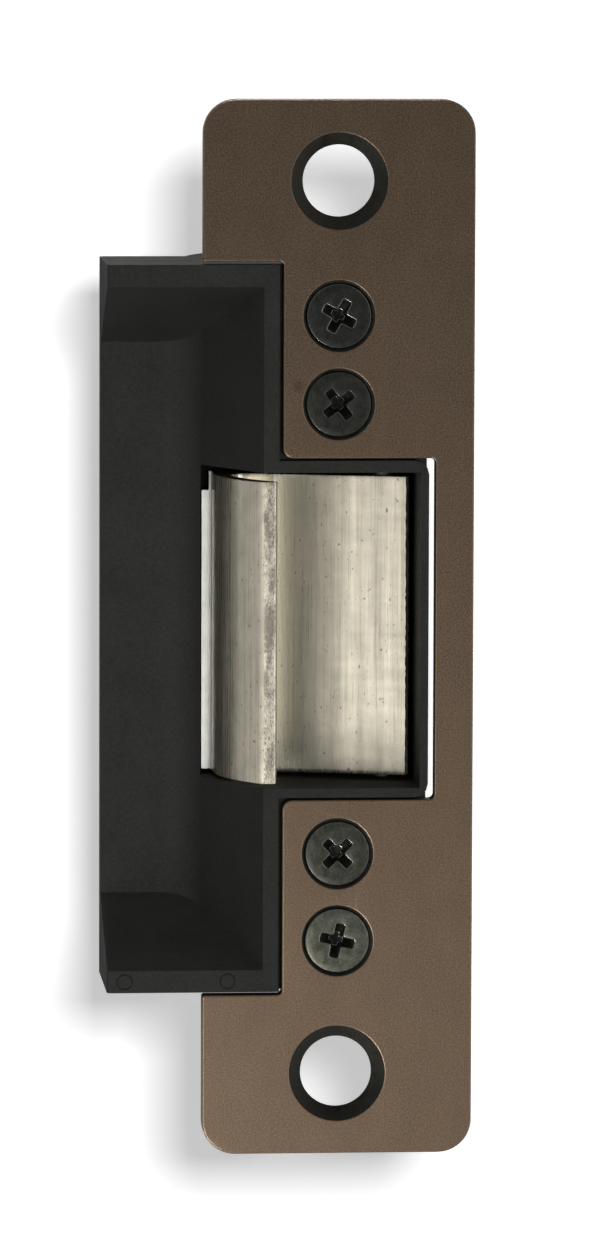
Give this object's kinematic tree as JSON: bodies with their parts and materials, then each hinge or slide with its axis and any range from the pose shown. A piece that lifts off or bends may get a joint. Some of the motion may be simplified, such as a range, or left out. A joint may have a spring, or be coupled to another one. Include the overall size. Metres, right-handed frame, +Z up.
{
  "type": "electric door strike",
  "caption": "Electric door strike with a notched bronze faceplate, die-cast case with an open lip cavity, swinging steel keeper and a solenoid-driven locking lever.",
  "frame": {"origin": "centre of the case's flat back cover, straight behind the middle of the faceplate", "axes": "+Z up along the faceplate, +Y into the jamb, +X to the right when facing the faceplate"},
  "size_m": [0.0429, 0.034, 0.1238],
  "materials": {
    "bronze_finish": "dark bronze, fine satin speckle",
    "black_die_casting": "matt black on die-cast zinc",
    "stainless_sheet": "drawn stainless sheet",
    "black_zinc": "black zinc, semi-gloss",
    "steel": "turned steel",
    "spring_steel": "drawn spring wire",
    "zinc_plated_steel": "zinc-plated sheet",
    "copper_winding": "enamelled copper wire",
    "white_nylon": "moulded nylon",
    "black_rubber": "moulded rubber",
    "red_insulation": "extruded insulation",
    "black_insulation": "extruded insulation"
  },
  "bodies": {
    "case": {"faceplate": "bronze_finish", "faceplate_screw_1": "black_zinc", "faceplate_screw_2": "black_zinc", "faceplate_screw_3": "black_zinc", "faceplate_screw_4": "black_zinc", "strike_body": "black_die_casting", "keeper_pin": "steel", "keeper_pin_clip": "spring_steel", "keeper_spring": "spring_steel", "lever_pin": "steel", "solenoid_frame": "zinc_plated_steel", "solenoid_screw_1": "zinc_plated_steel", "solenoid_screw_2": "zinc_plated_steel", "solenoid_bobbin": "white_nylon", "solenoid_winding": "copper_winding", "solenoid_core": "steel", "plunger_spring": "spring_steel", "back_cover": "zinc_plated_steel", "back_cover_screw_1": "zinc_plated_steel", "back_cover_screw_2": "zinc_plated_steel", "back_cover_screw_3": "zinc_plated_steel", "back_cover_screw_4": "zinc_plated_steel", "lead_grommet": "black_rubber", "lead_red": "red_insulation", "lead_black": "black_insulation", "lead_plug": "white_nylon"},
    "keeper": {"keeper": "stainless_sheet"},
    "plunger": {"solenoid_plunger": "steel", "link_pin": "steel"},
    "lever": {"locking_lever": "steel"}
  },
  "joints": [
    {"name": "keeper_swing", "type": "hinge", "parent": "case", "child": "keeper", "pos_m": [0.0066, -0.0206, 0], "axis": [0, 0, -1], "range_deg": [0, 45], "stiffness_Nm_per_rad": 0.05, "deforming": ["keeper_spring"]},
    {"name": "plunger_slide", "type": "slide", "parent": "case", "child": "plunger", "axis": [0, 0, -1], "range_m": [0, 0.00276], "stiffness_N_per_m": 250, "deforming": ["plunger_spring"]},
    {"name": "lever_swing", "type": "hinge", "parent": "case", "child": "lever", "pos_m": [-0.0023, -0.0144, -0.025], "axis": [0, 1, 0], "range_deg": [0, 35]}
  ],
  "couplings": [
    {"joint": "lever_swing", "follows": "plunger_slide", "rad_per_m": 220.8}
  ]
}
